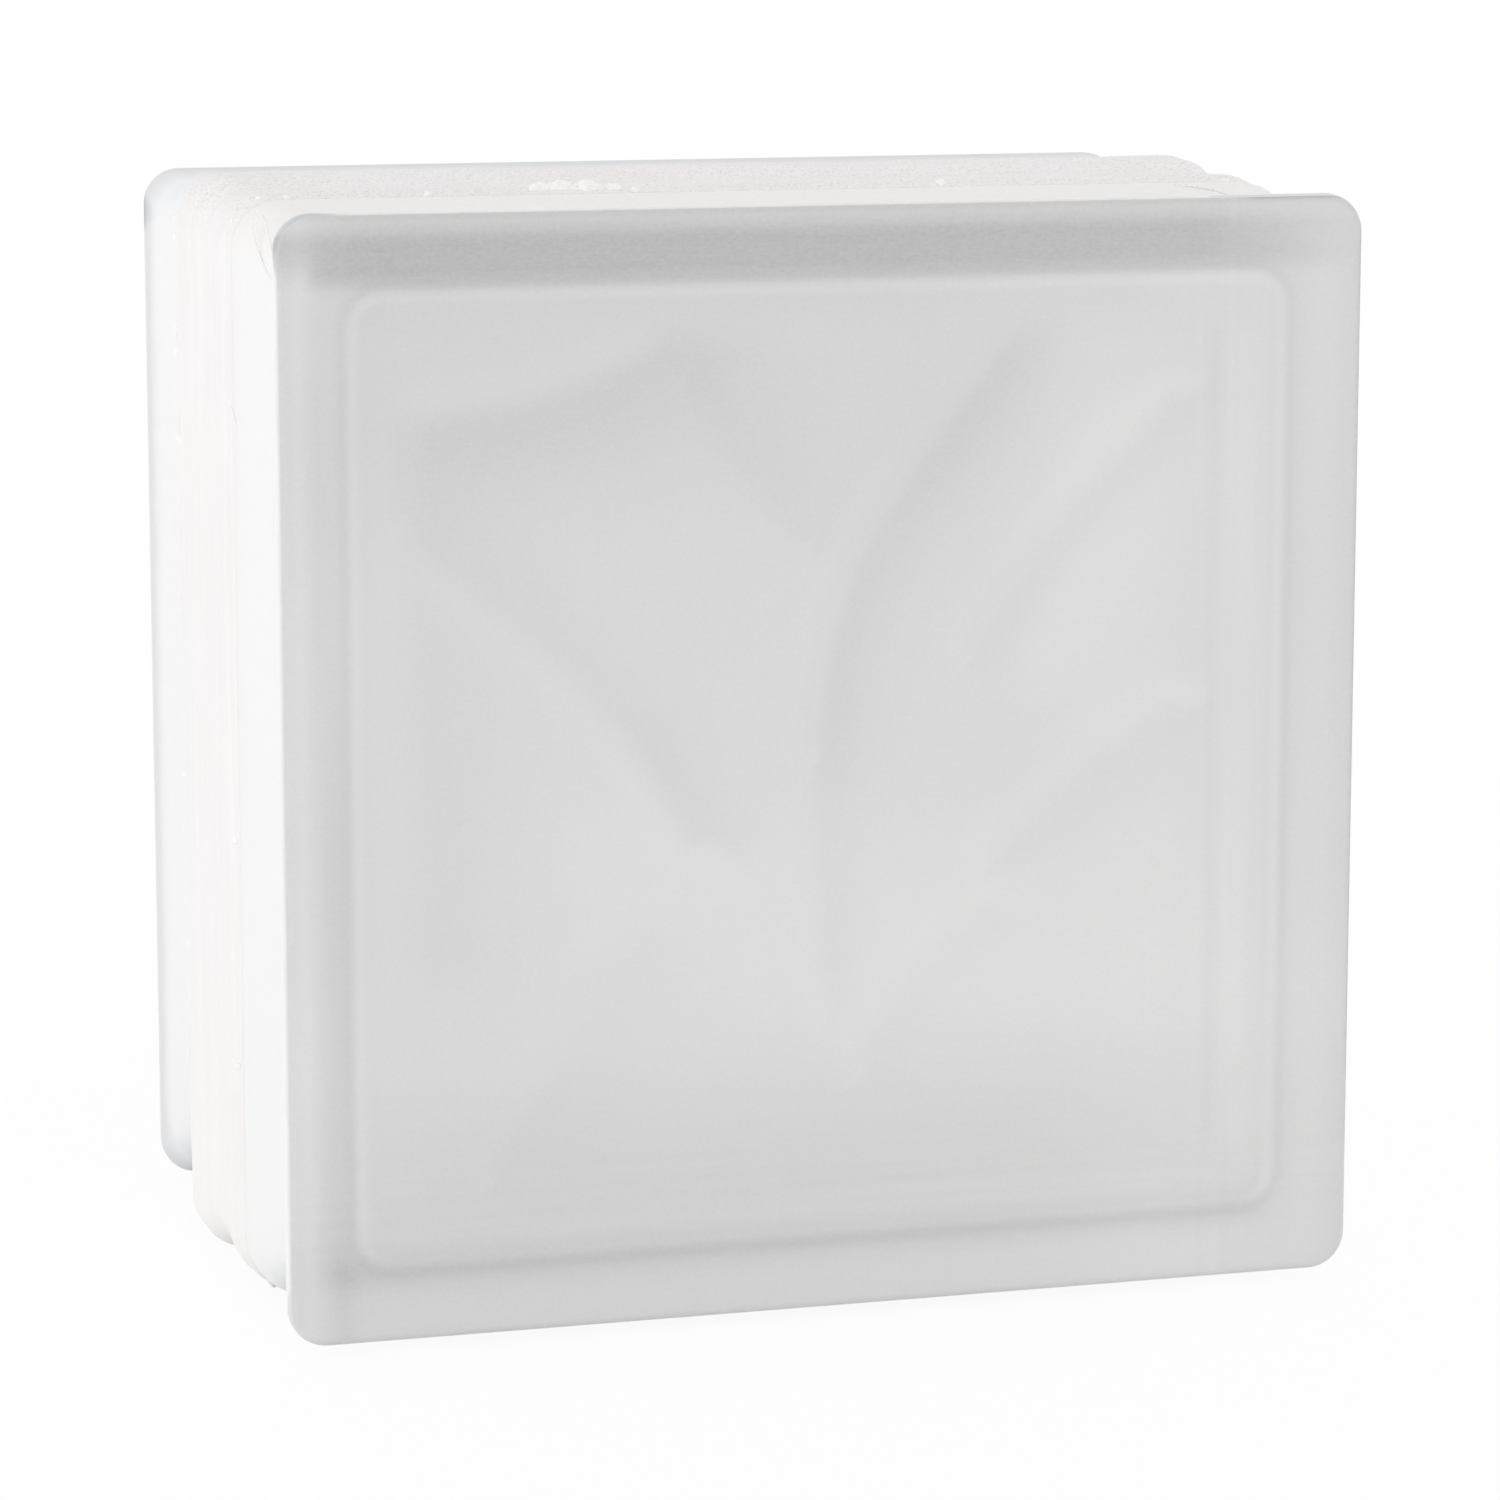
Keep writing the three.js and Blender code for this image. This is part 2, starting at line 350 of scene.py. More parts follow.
def plain_object(name: str, mesh: bpy.types.Mesh) -> bpy.types.Object:
    """Links a mesh to the scene as an object at the origin.

    Args:
        name: the object's name.
        mesh: its mesh.

    Returns:
        The object.
    """
    piece = bpy.data.objects.new(name, mesh)
    bpy.context.collection.objects.link(piece)
    return piece


# ---- Finishes of the block -----------------------------------------------------------------------


@dataclass(frozen=True)
class SatinGlass:
    """Acid-etched outside of a face plate: pale grey, with painted shade and light along the folds, the
    borders and the panel's edge.

    The film is the share of the light that the etching stops; the rest passes blurred.
    """

    name: str
    film: float
    middle: float
    pale: Colour = (1.0, 1.0, 0.995)
    deep: Colour = (0.6, 0.6, 0.6)
    level: float = 0.75
    contrast: float = 0.3
    grain: float = 0.2
    roughness: float = 0.42
    clarity: float = 0.5
    speck: float = 0.5 * MM
    # These fields place a painted highlight line on the panel's edge and a painted shade line just outside
    # it.
    panel: float = 62.4 * MM
    panel_corner: float = 4 * MM
    panel_left: float = 1.0 * MM
    line: float = 0.8 * MM
    painted_line_tone: float = 0.35
    shade_past: float = 1.44 * MM
    mottle: float = 0.6
    mottle_size: Point = (0.8 * MM, 0.8 * MM, 0.35 * MM)
    uneven: float = 0.1
    drawn: float = 0.15
    drawn_width: float = 1.4 * MM
    drawn_length: float = 60 * MM
    drawn_right: tuple[float, float] = (54 * MM, 7 * MM)
    drawn_foot: tuple[float, float] = (-56 * MM, 8 * MM)

    def material(self) -> bpy.types.Material:
        """Builds the material.

        Returns:
            The material.
        """
        finish = Finish(self.name)
        speck = finish.grain(self.speck) - 0.5
        patchy = finish.book.noise(finish.place, self.mottle_size) - 0.5
        # The attribute thick holds painted shade and light along the folds and the borders; it is not a
        # thickness.
        thick = finish.attribute("thick") * (patchy * self.mottle + 1.0)
        past = self.past_panel(finish)
        # Painted highlight line on the panel's edge, and painted shade line just outside it.
        edge = ((past - self.shade_past).bell(self.line) - past.bell(self.line)) * self.painted_line_tone
        share = self.level - (thick + edge) * self.contrast + speck * self.grain
        share = (share + self.drawn_lines(finish) * self.drawn).clipped()
        colour = finish.book.blend(share, self.deep, self.pale)
        etched = finish.principled(
            base_color=colour, roughness=speck * self.uneven + self.roughness, ior=GLASS_IOR,
            transmission_weight=self.clarity,
        )
        return finish.close(finish.filmed(etched, colour, self.film))

    def drawn_lines(self, finish: Finish) -> Socket:
        """Draws fine lines along the right border and the foot of the panel.

        Args:
            finish: the material that they are for.

        Returns:
            Their tone, round 0.
        """
        x, _, z = finish.book.parts(finish.place)
        fine, long = self.drawn_width, self.drawn_length
        upright = finish.book.noise(finish.place, (fine, long, long)) - 0.5
        level = finish.book.noise(finish.place, (long, long, fine)) - 0.5
        at_right = (x - self.drawn_right[0]).bell(self.drawn_right[1])
        at_foot = (z - (self.middle + self.drawn_foot[0])).bell(self.drawn_foot[1])
        return upright * at_right + level * at_foot

    def past_panel(self, finish: Finish) -> Socket:
        """Measures outwards from the rounded edge of the panel.

        Args:
            finish: the material that it is for.

        Returns:
            The distance, true where the edge is in reach of the corners.
        """
        x, _, z = finish.book.parts(finish.place)
        straight = self.panel - self.panel_corner
        across = (abs(x + self.panel_left) - straight).larger(0.0)
        upwards = (abs(z - self.middle) - straight).larger(0.0)
        return finish.book.length(finish.book.joined(x=across, y=upwards)) - self.panel_corner


@dataclass(frozen=True)
class BareGlass:
    """Fire-polished inside of the trays."""

    tint: Colour = (0.97, 0.985, 0.98)

    def material(self) -> bpy.types.Material:
        """Builds the material.

        Returns:
            The material.
        """
        finish = Finish("bare_glass")
        tint = (*self.tint, 1.0)
        return finish.close(
            finish.principled(base_color=tint, roughness=0.0, ior=GLASS_IOR, transmission_weight=1.0)
        )


@dataclass(frozen=True)
class PaintedSide:
    """Outside of a tray: white paint that stops short of the lip, and a milky film where it is missing.

    It stops furthest from the lip at the corners and at the right end of the top. The lip is greyer, as
    painted shade, with dark marks on two tips, and the top takes a colour of its own from the sealer.
    Each mark is given by its place from the block's middle, its reach and its strength.
    """

    half: float
    middle: float
    depth: float
    white: Colour
    top: Colour
    paint_from: float
    glass: Colour = (0.93, 0.965, 0.96)
    film: Colour = (0.975, 0.985, 0.995)
    lip_painted_shade: Colour = (0.83, 0.83, 0.84)
    mark_film: Colour = (0.58, 0.58, 0.6)
    # The first and last marks are small dark specks; the middle, wide one is painted shade over the front
    # tip.
    marks: tuple[tuple[Point, float, float], ...] = (
        ((-73.0 * MM, 48.5 * MM, 67.0 * MM), 3.5 * MM, 1.0),
        ((-71.1 * MM, -47.5 * MM, 71.1 * MM), 8 * MM, 0.6),
        ((-73.1 * MM, -47.9 * MM, 69.5 * MM), 1.6 * MM, 1.0),
    )
    lip: float = 2.2 * MM
    lip_share: float = 0.7
    film_share: float = 0.93
    thin: float = 0.06
    corner: float = 8 * MM
    corner_recess: float = 4 * MM
    missed: Point = (-70.0 * MM, -29.5 * MM, -71.0 * MM)
    missed_reach: float = 3.5 * MM
    top_end: float = 51 * MM
    top_recess: float = 2.5 * MM
    ragged: float = 0.5 * MM
    ragged_size: float = 7 * MM
    soft: float = 1.0 * MM
    soft_share: float = 0.15
    soft_top: float = 4 * MM
    glass_roughness: float = 0.08
    paint_roughness: float = 0.6
    uneven: float = 0.2
    dust: float = 1.2 * MM
    dust_rise: float = 0.08 * MM
    top_dust: float = 2.0

    def material(self) -> bpy.types.Material:
        """Builds the material.

        Returns:
            The material.
        """
        finish = Finish("painted_side")
        x, y, z = finish.book.parts(finish.place)
        beside = abs(x).smaller(abs(z - self.middle))
        recess = ((beside - (self.half - self.corner)) / self.corner).clipped() * self.corner_recess
        on_top = ((z - (self.middle + self.half - self.corner)) / self.soft_top).clipped()
        recess = recess + on_top * ((x - self.top_end) / self.soft_top).clipped() * self.top_recess
        wander = (finish.grain(self.ragged_size) - 0.5) * (2 * self.ragged)
        depth = self.depth - abs(y)
        border = self.soft + self.paint_from * self.soft_share
        share = ((depth - self.paint_from - recess + wander) / border).clipped()
        away = finish.distance(self.in_frame(self.missed))
        share = share * ((away - self.missed_reach + wander) / self.soft).clipped()
        glass = finish.principled(
            base_color=(*self.glass, 1.0), roughness=self.glass_roughness, ior=GLASS_IOR,
            transmission_weight=1.0,
        )
        # The film is painted grey over the lip, as painted shade.
        grey_to = self.lip + self.paint_from * self.lip_share
        at_lip = ((grey_to - depth) / border).clipped()
        bare = finish.filmed(glass, self.film_colour(finish, at_lip), self.film_share)
        dust = finish.grain(self.dust)
        paint = finish.principled(
            base_color=self.paint_colour(finish, on_top),
            roughness=(dust - 0.5) * self.uneven + self.paint_roughness,
            normal=finish.bump(dust * (on_top * self.top_dust + 1.0), self.dust_rise),
        )
        painted = finish.thinned(paint, (*self.white, 1.0), self.thin)
        return finish.close(finish.mixed(share, bare, painted))

    def paint_colour(self, finish: Finish, on_top: Socket) -> Socket | tuple[float, ...]:
        """Colour of the paint, which changes on the top only if that has a colour of its own.

        Args:
            finish: the material that it is for.
            on_top: 1 on the top and 0 elsewhere.

        Returns:
            The colour, fixed or as a Socket.
        """
        if self.top == self.white:
            return (*self.white, 1.0)
        return finish.book.blend(on_top, self.white, self.top)

    def film_colour(self, finish: Finish, at_lip: Socket) -> Socket:
        """Colours the film: greyer at the lip as painted shade, and darkest at the marks, which fade over
        half their reach.

        Args:
            finish: the material that it is for.
            at_lip: 1 on the lip and 0 behind it.

        Returns:
            The colour.
        """
        film = finish.book.blend(at_lip, self.film, self.lip_painted_shade)
        for place, reach, strength in self.marks:
            away = finish.distance(self.in_frame(place))
            marked = (2.0 - away * (2.0 / reach)).clipped() * strength
            film = finish.book.blend(marked, film, self.mark_film)
        return film

    def in_frame(self, place: Point) -> Point:
        """A place that is given from the block's middle, in the frame."""
        return (place[0], place[1], place[2] + self.middle)


@dataclass(frozen=True)
class BackedWall:
    """Wall of the air space: glossy glass that shows the thin white paint behind it."""

    white: Colour = (0.985, 0.985, 0.98)
    thin: float = 0.4
    roughness: float = 0.12

    def material(self) -> bpy.types.Material:
        """Builds the material.

        Returns:
            The material.
        """
        finish = Finish("backed_wall")
        white = (*self.white, 1.0)
        wall = finish.principled(base_color=white, roughness=self.roughness, ior=GLASS_IOR)
        return finish.close(finish.thinned(wall, white, self.thin))


@dataclass(frozen=True)
class Sealer:
    """White sealer, drawn along the side of the block, with a pink and cream cast.

    It is sandy above a height, and its crumbs are whiter.
    """

    sandy_from: float
    pale: Colour = (0.96, 0.95, 0.948)
    pink: Colour = (0.93, 0.893, 0.9)
    cream: Colour = (0.94, 0.925, 0.91)
    grit: Colour = (0.8, 0.775, 0.76)
    crumb: Colour = (1.0, 0.985, 0.975)
    streak: Point = (60 * MM, 1.1 * MM, 60 * MM)
    streak_share: float = 1.6
    patch: float = 18 * MM
    patch_share: float = 1.2
    cast: float = 30 * MM
    cast_contrast: float = 4.0
    sand: float = 0.8 * MM
    sandy_over: float = 6 * MM
    sandy_cast: float = 0.8
    sandy_rise: float = 1.5
    even_rise: float = 0.5
    grit_size: float = 0.38 * MM
    grit_contrast: float = 5.0
    roughness: float = 0.7
    uneven: float = 0.2
    rise: float = 0.12 * MM

    def material(self) -> bpy.types.Material:
        """Builds the material.

        Returns:
            The material.
        """
        finish = Finish("sealer")
        streak = finish.book.noise(finish.place, self.streak, 3.0)
        patch = finish.grain(self.patch)
        sandy = ((finish.book.parts(finish.place)[2] - self.sandy_from) / self.sandy_over).clipped()
        share = (streak - 0.5) * self.streak_share + (patch - 0.5) * self.patch_share + 0.5
        creamy = ((finish.grain(self.cast) - 0.5) * self.cast_contrast + 0.5).clipped()
        cast = finish.book.blend(creamy * (1.0 - sandy * self.sandy_cast), self.pink, self.cream)
        colour = finish.book.blend(share.clipped(), cast, self.pale)
        grit = ((finish.grain(self.grit_size) - 0.5) * self.grit_contrast * sandy).clipped()
        colour = finish.book.blend(grit, colour, self.grit)
        sand = finish.grain(self.sand, 3.0)
        height = sand * (sandy * self.sandy_rise + self.even_rise) + streak
        return finish.close(
            finish.principled(
                base_color=finish.book.blend(finish.attribute("crumb"), colour, self.crumb),
                roughness=(sand - 0.5) * self.uneven + self.roughness,
                normal=finish.bump(height, self.rise),
            )
        )


# ---- Ring meshes ---------------------------------------------------------------------------------


@dataclass(frozen=True)
class Outline:
    """How finely each rounded square is divided."""

    side_steps: int = 112
    corner_steps: int = 12

    @property
    def cells(self) -> int:
        """Steps along one side, from the middle of one corner to the middle of the next."""
        return self.side_steps + self.corner_steps

    def lines(self, half: float, corner: float) -> np.ndarray:
        """Places the grid lines across a square, before its corners are rounded.

        Args:
            half: half its width.
            corner: radius that its corners will have.

        Returns:
            Places from one side to the other.
        """
        turns = np.linspace(0.0, math.pi / 4, self.corner_steps // 2 + 1)
        outer = (half - corner) + math.sqrt(2) * corner * np.sin(turns)
        middle = np.linspace(corner - half, half - corner, self.side_steps + 1)
        return np.concatenate((-outer[:0:-1], middle, outer[1:]))

    def rounded(self, x: np.ndarray, z: np.ndarray, half: float, corner: float) -> np.ndarray:
        """Presses the points of a square into a rounded square.

        Args:
            x: places across.
            z: places upwards.
            half: half its width.
            corner: radius of its corners.

        Returns:
            Rows of [x, z].
        """
        straight, twice = half - corner, 2.0 * corner * corner
        dx = np.maximum(np.abs(x) - straight, 0.0)
        dz = np.maximum(np.abs(z) - straight, 0.0)
        new_x = np.where(dx > 0, np.sign(x) * (straight + dx * np.sqrt(1 - dz * dz / twice)), x)
        new_z = np.where(dz > 0, np.sign(z) * (straight + dz * np.sqrt(1 - dx * dx / twice)), z)
        return np.stack((new_x, new_z), axis=-1)

    def points(self, half: float, corner: float) -> np.ndarray:
        """Places points round a square, anticlockwise seen from the front, from its lower left corner.

        Args:
            half: half its width.
            corner: radius of its corners.

        Returns:
            Rows of [x, z].
        """
        along = self.lines(half, corner)
        side = self.rounded(along, np.full_like(along, -half), half, corner)[:-1]
        sides = [side]
        for _ in range(3):
            side = np.column_stack((-side[:, 1], side[:, 0]))
            sides.append(side)
        return np.concatenate(sides)


class RingMesh:
    """A surface gathered from rings of equal count."""

    def __init__(self, outline: Outline, middle: float) -> None:
        """Starts an empty surface.

        Args:
            outline: how each ring is divided.
            middle: height of the block's middle above the floor.
        """
        self.outline = outline
        self.middle = middle
        self.points: list[np.ndarray] = []
        self.faces: list[tuple[int, ...]] = []
        self.zones: list[int] = []
        self.loose: list[np.ndarray] = []
        self.count = 0

    def add(self, flat: np.ndarray, y: float, loose: float) -> np.ndarray:
        """Adds points at one depth.

        Args:
            flat: rows of [x, z] from the block's middle.
            y: their place along Y.
            loose: how far the relief or the sealer's lumps may move them, from 0 to 1.

        Returns:
            The numbers of the vertices.
        """
        rows = np.column_stack((flat[:, 0], np.full(len(flat), y), flat[:, 1] + self.middle))
        self.points.append(rows)
        self.loose.append(np.full(len(flat), loose))
        self.count += len(flat)
        return np.arange(self.count - len(flat), self.count)

    def ring(self, half: float, corner: float, y: float, loose: float = 0.0) -> np.ndarray:
        """Adds a rounded square and returns its vertex numbers."""
        return self.add(self.outline.points(half, corner), y, loose)

    def skin(self, first: np.ndarray, second: np.ndarray, zone: int = 0) -> None:
        """Joins two rings; where the second lies further back, the faces look outwards.

        Args:
            first: vertex numbers of the first ring.
            second: those of the second ring.
            zone: finish of the new faces, where the piece has several.
        """
        after = np.roll(np.arange(len(first)), -1)
        quads = np.column_stack((first, second, second[after], first[after]))
        self.faces.extend(map(tuple, quads.tolist()))
        self.zones.extend([zone] * len(quads))

    def plate(
        self, ring: np.ndarray, half: float, corner: float, y: float, zone: int, loose: float, back: bool
    ) -> None:
        """Fills a ring with a grid.

        Args:
            ring: vertex numbers of the ring.
            half: half the ring's width.
            corner: radius of its corners.
            y: its place along Y.
            zone: finish of the new faces.
            loose: as in add.
            back: whether the grid looks along +Y instead of -Y.
        """
        cells = self.outline.cells
        lines = self.outline.lines(half, corner)
        x, z = np.meshgrid(lines, lines)
        flat = self.outline.rounded(x, z, half, corner)[1:-1, 1:-1].reshape(-1, 2)
        grid = np.zeros((cells + 1, cells + 1), int)
        grid[1:-1, 1:-1] = self.add(flat, y, loose).reshape(cells - 1, cells - 1)
        grid[0, :-1] = ring[:cells]
        grid[:-1, -1] = ring[cells:2 * cells]
        grid[-1, :0:-1] = ring[2 * cells:3 * cells]
        grid[:0:-1, 0] = ring[3 * cells:]
        corners = [grid[:-1, :-1], grid[:-1, 1:], grid[1:, 1:], grid[1:, :-1]]
        quads = np.stack(corners[::-1] if back else corners, axis=-1).reshape(-1, 4)
        self.faces.extend(map(tuple, quads.tolist()))
        self.zones.extend([zone] * len(quads))

    def mesh(self, name: str) -> bpy.types.Mesh:
        """Makes a smooth mesh that holds the zones and the loose shares as attributes.

        Args:
            name: the mesh's name.

        Returns:
            The mesh.
        """
        mesh = bpy.data.meshes.new(name)
        mesh.from_pydata(np.concatenate(self.points).tolist(), [], self.faces)
        mesh.attributes.new("zone", "INT", "FACE").data.foreach_set("value", self.zones)
        mesh.attributes.new("loose", "FLOAT", "POINT").data.foreach_set("value", np.concatenate(self.loose))
        mesh.shade_smooth()
        return mesh


def ease(start: float, end: float, share: float) -> float:
    """Smooth change from one value to another, level at both ends."""
    return start + (end - start) * (1 - math.cos(math.pi * share)) / 2


def softened(corners: Sequence[tuple[float, float, float]], steps: int) -> list[tuple[float, float]]:
    """Rounds the corners of a section.

    Args:
        corners: (depth, inset, radius) of each corner; the ends keep a radius of 0.
        steps: facets of each rounding.

    Returns:
        Points of the section as (depth, inset).
    """
    line: list[tuple[float, float]] = []
    for number, (depth, inset, radius) in enumerate(corners):
        if radius == 0:
            line.append((depth, inset))
            continue
        here = Vector((depth, inset))
        back = (Vector(corners[number - 1][:2]) - here).normalized()
        ahead = (Vector(corners[number + 1][:2]) - here).normalized()
        half_turn = back.angle(ahead) / 2
        reach = radius / math.tan(half_turn)
        centre = here + (back + ahead).normalized() * (radius / math.sin(half_turn))
        start, end = here + back * reach - centre, here + ahead * reach - centre
        turn = -start.angle_signed(end)
        for step in range(steps + 1):
            angle = turn * step / steps
            x = start.x * math.cos(angle) - start.y * math.sin(angle)
            y = start.x * math.sin(angle) + start.y * math.cos(angle)
            line.append((centre.x + x, centre.y + y))
    return line


# ---- Trays ---------------------------------------------------------------------------------------


class Zone(IntEnum):
    """Stretches of a tray's surface with a finish of their own."""

    FACE = 0
    SIDE = 1
    WALL = 2
    PLATE = 3


Finishes = dict[Zone, bpy.types.Material]


@dataclass(frozen=True)
class Fold:
    """A fold of the relief: a curve across the plate, in millimetres from its middle.

    The fold falls steeply on one side and slowly on the other; steep points to the steep side,
    where a furrow runs along its foot.
    """

    path: tuple[tuple[float, float], tuple[float, float], tuple[float, float], tuple[float, float]]
    height: float
    steep: tuple[float, float]
    narrow: float
    wide: float
    furrow: float = 0.0


# Each fold also paints shade on the satin face along its line, through the attribute thick.
FOLDS = (
    Fold(((29, 62), (16, 38), (1, 31), (-1, 4)), 0.4, (-1, 0.5), 2, 8, 0.15),
    Fold(((29, 62), (12, 31), (-6, 36), (0, -30)), 0.3, (-1, 0.3), 1.8, 4, 0.1),
    Fold(((-20, 62), (-21, 50), (-36, 46), (-58, 44)), 0.6, (-0.3, 1), 2.5, 8, 0.25),
    Fold(((-18, 48), (-14, 42), (-10, 38), (-5, 31)), 0.3, (-1, -0.8), 2, 8),
    Fold(((-54, 32), (-40, 20), (-28, 10), (-19, -8)), 0.3, (-0.7, -1), 2, 7, 0.15),
    Fold(((-25, 4), (-23, 0), (-21, -3), (-18, -8)), 0.25, (-0.7, -1), 2, 5),
    Fold(((47, 45), (39, 37), (29, 28), (21, 15)), 0.4, (-0.7, 0.7), 2, 4, 0.35),
    Fold(((47, 4), (41, 0), (34, -6), (24, -13)), 0.2, (-0.5, 1), 2, 4, 0.4),
    Fold(((22, -22), (14, -28), (8, -33), (6, -39)), 0.2, (-0.7, 0.7), 2, 4, 0.35),
    Fold(((-30, -27), (-33, -35), (-38, -42), (-44, -50)), 0.2, (-1, 0.7), 2, 9, 0.1),
    # The next three broad folds mostly paint shade on the left and light on the right and in the middle,
    # and bend the plate only a little; a height below 0 paints light.
    Fold(((-62, 26), (-54, 10), (-50, -4), (-52, -20)), 0.3, (-1, 0), 10, 12),
    Fold(((40, 60), (38, 48), (36, 30), (32, 14)), -0.4, (1, 0), 10, 10),
    Fold(((-30, -14), (0, -22), (24, -26), (44, -24)), -0.5, (0, 1), 18, 18),
    Fold(((-50, -55), (-20, -56), (10, -56), (40, -57)), 0.2, (0, 1), 8, 6),
)


@dataclass(frozen=True)
class PaintedBorderBand:
    """A strip of painted shade along one border of the plate, in millimetres; a tone below 0 paints light.

    The wide ones are painted shade for the web and the coated sides seen through the plate, the thin ones
    painted dark and light lines at the edge.
    A strip lies at a distance from the middle, in the direction toward, and reaches from start to end
    along the border, counted to the right or upwards, with a fade at each end.
    """

    toward: tuple[float, float]
    middle: float
    width: float
    tone: float
    start: float = -76
    end: float = 76
    fade_in: float = 4
    fade_out: float = 4


PAINTED_BORDER_SHADE_AND_LIGHT = (
    PaintedBorderBand((0, 1), 72.6, 1.0, 0.8, end=74, fade_out=24),
    PaintedBorderBand((0, 1), 72.9, 0.35, 2.5, 55, 73, 3, 3),
    PaintedBorderBand((0, 1), 69.4, 1.9, 1.6, end=74, fade_out=24),
    PaintedBorderBand((0, 1), 69.4, 1.9, 0.35, -69.5, 74, 2, 24),
    PaintedBorderBand((0, 1), 67.0, 1.6, 0.9, end=74, fade_out=24),
    PaintedBorderBand((0, 1), 67.0, 1.6, 0.2, -69.5, 74, 2, 24),
    PaintedBorderBand((0, 1), 65.1, 1.6, 0.4, end=74, fade_out=24),
    PaintedBorderBand((0, 1), 65.1, 1.6, 1.1, -69.5, 74, 2, 24),
    PaintedBorderBand((0, 1), 60.5, 3.5, 0.15, end=50, fade_out=36),
    PaintedBorderBand((0, 1), 50.0, 18.0, 0.4, end=50, fade_out=36),
    PaintedBorderBand((-1, 0), 66.0, 1.7, 0.5, end=20, fade_out=30),
    PaintedBorderBand((-1, 0), 68.0, 4.0, -0.35, 38, fade_in=25),
    PaintedBorderBand((-1, 0), 70.5, 1.6, -0.4),
    PaintedBorderBand((1, 0), 73.0, 4.0, 0.5),
    PaintedBorderBand((1, 0), 72.8, 0.35, 1.5, -60, 70, 20, 3),
    PaintedBorderBand((1, 0), 65.0, 7.0, 0.2, -20, fade_in=40),
    PaintedBorderBand((1, 0), 52.5, 1.0, 0.25, -56, 58),
    PaintedBorderBand((1, 0), 56.0, 2.4, -0.25, -56, 58),
    PaintedBorderBand((1, 0), 45.0, 12.0, -0.25, end=50, fade_out=10),
    PaintedBorderBand((0, -1), 63.3, 1.9, 0.7, -70, 62),
    PaintedBorderBand((0, -1), 64.0, 6.0, 0.3, end=40, fade_out=80),
    PaintedBorderBand((0, -1), 34.0, 10.0, -0.2),
)


@dataclass(frozen=True)
class WaveRelief:
    """The pressed waves: folds that raise the inside of the plate, and paint shade and light on the face
    along them and along its borders.

    The share shown says how strongly the folds are painted as shade on the face, and furrow_at how far
    a furrow lies from its fold, in widths of the steep side.
    """

    height: float = 2.2 * MM
    fade: float = 6 * MM
    samples: int = 20
    shown: float = 0.75
    furrow_at: float = 2.0

    def run(
        self, mesh: bpy.types.Mesh, middle: float, panel: float, finishes: Finishes
    ) -> bpy.types.Mesh:
        """Presses the waves into a tray.

        Args:
            mesh: the tray, with its face at the front.
            middle: height of the block's middle.
            panel: half the width of the level plate.
            finishes: a material for each Zone.

        Returns:
            The finished mesh.
        """
        values = {"Wave Height": self.height, "Fade": self.fade, "Panel": panel, "Middle": middle}
        labels = {zone: f"{zone.name.title()} Finish" for zone in Zone}
        tree = GeometryTree("pressed_waves", values | {labels[zone]: finishes[zone] for zone in Zone})
        book, given = tree.book, tree.given
        x, _, z = book.parts(tree.place)
        z = z - given["Middle"]
        flat = book.joined(x=x, z=z)
        swell: Socket | float = 0.0
        for fold in FOLDS:
            swell = self.swell(tree, flat, fold) + swell
        inwards = ((given["Panel"] - abs(x)) / given["Fade"]).clipped()
        upwards = ((given["Panel"] - abs(z)) / given["Fade"]).clipped()
        swell = swell * inwards * upwards
        # The attribute thick carries painted shade and light for the satin face: shade along the folds, and
        # the border bands.
        geometry = tree.keep(given["Geometry"], "thick", swell * self.shown + self.border(x, z))
        rise = swell * given["Wave Height"] * tree.attribute("loose")
        geometry = tree.shifted(geometry, book.joined(y=rise))
        covers = {}
        for zone in Zone:
            same = {"data_type": "INT", "operation": "EQUAL"}
            zones = tree.attribute("zone", "INT")
            covers[labels[zone]] = book.node("FunctionNodeCompare", same, {2: zones, 3: int(zone)})[0]
        tree.close(geometry, covers)
        return tree.run(mesh)

    def border(self, x: Socket, z: Socket) -> Socket:
        """Adds up the painted shade and light of the bands along the borders.

        Args:
            x: place across, from the block's middle.
            z: place upwards, from there.

        Returns:
            Their painted tone at each point.
        """
        tone: Socket | float = 0.0
        for band in PAINTED_BORDER_SHADE_AND_LIGHT:
            across = x * band.toward[0] + z * band.toward[1]
            along = z if band.toward[0] else x
            begun = ((along - band.start * MM) / (band.fade_in * MM)).clipped()
            left = ((band.end * MM - along) / (band.fade_out * MM)).clipped()
            tone = (across - band.middle * MM).bell(band.width * MM) * begun * left * band.tone + tone
        return tone

    def swell(self, tree: GeometryTree, flat: Socket, fold: Fold) -> Socket:
        """Shapes one fold.

        Args:
            tree: the tree that it is for.
            flat: places on the plate, with a Y of 0.
            fold: the fold.

        Returns:
            Its height at each point, as a share of the full height.
        """
        book = tree.book
        curve = tree.curve([(x * MM, 0.0, z * MM) for x, z in fold.path], self.samples)
        line = book.node("GeometryNodeCurveToMesh", {}, {"Curve": curve})[0]
        near = {"Geometry": line, "Sample Position": flat}
        nearest, distance, _ = book.node("GeometryNodeProximity", {"target_element": "EDGES"}, near)
        steep = (fold.steep[0], 0.0, fold.steep[1])
        away = book.vector("SUBTRACT", flat, nearest)
        lean = book.node("ShaderNodeVectorMath", {"operation": "DOT_PRODUCT"}, {0: away, 1: steep})[1]
        on_steep = lean.math("GREATER_THAN", 0.0)
        width = fold.wide * MM - on_steep * ((fold.wide - fold.narrow) * MM)
        furrow = (distance - self.furrow_at * fold.narrow * MM).bell(fold.narrow * MM) * on_steep
        return distance.bell(width) * fold.height - furrow * fold.furrow


